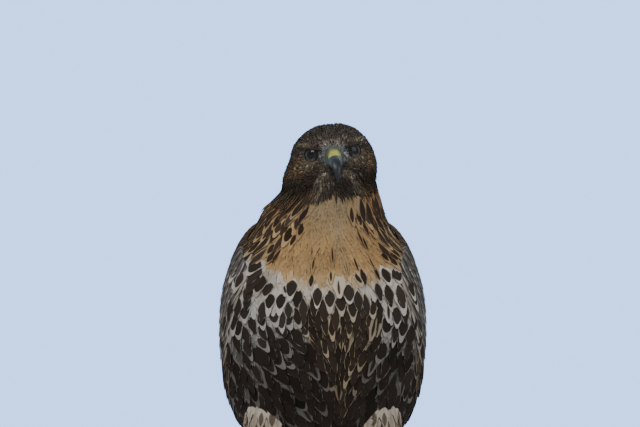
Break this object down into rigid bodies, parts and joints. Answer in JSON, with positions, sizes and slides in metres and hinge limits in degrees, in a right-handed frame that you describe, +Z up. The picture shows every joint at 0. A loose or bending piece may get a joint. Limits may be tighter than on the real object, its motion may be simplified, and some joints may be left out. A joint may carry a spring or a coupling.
{
  "type": "red-tailed hawk",
  "caption": "Adult red-tailed hawk, life size, standing upright and looking ahead, with folded wings in tiers of feathers, a fan tail, scaled feet and a hooked bill.",
  "frame": {"origin": "middle of the base of the whole bird's box, on the floor that the feet and the tail tip rest on", "axes": "+Z up, -Y the way the bird faces, +X its left side"},
  "size_m": [0.1736, 0.3436, 0.401],
  "materials": {
    "breast_feathers": "soft overlapping feathers, buff to white with dark drops",
    "brown_feathers": "matt to satin dark brown feathers with pale edges",
    "rust_feathers": "satin brick red feathers with a dark band near the tip",
    "yellow_skin": "satin scaled skin",
    "horn": "polished dark horn",
    "eye": "wet glossy dark eye"
  },
  "bodies": {
    "root": {"torso": "breast_feathers", "neck": "brown_feathers", "head": "brown_feathers", "cere": "yellow_skin", "bill_upper": "horn", "bill_lower": "horn", "eye_left": "eye", "eye_right": "eye", "wing_left": "brown_feathers", "wing_right": "brown_feathers", "tail": "rust_feathers", "thigh_left": "breast_feathers", "thigh_right": "breast_feathers", "shank_left": "yellow_skin", "shank_right": "yellow_skin", "foot_left": "yellow_skin", "foot_right": "yellow_skin", "claw_middle_left": "horn", "claw_inner_left": "horn", "claw_outer_left": "horn", "claw_hind_left": "horn", "claw_middle_right": "horn", "claw_inner_right": "horn", "claw_outer_right": "horn", "claw_hind_right": "horn"}
  },
  "joints": []
}
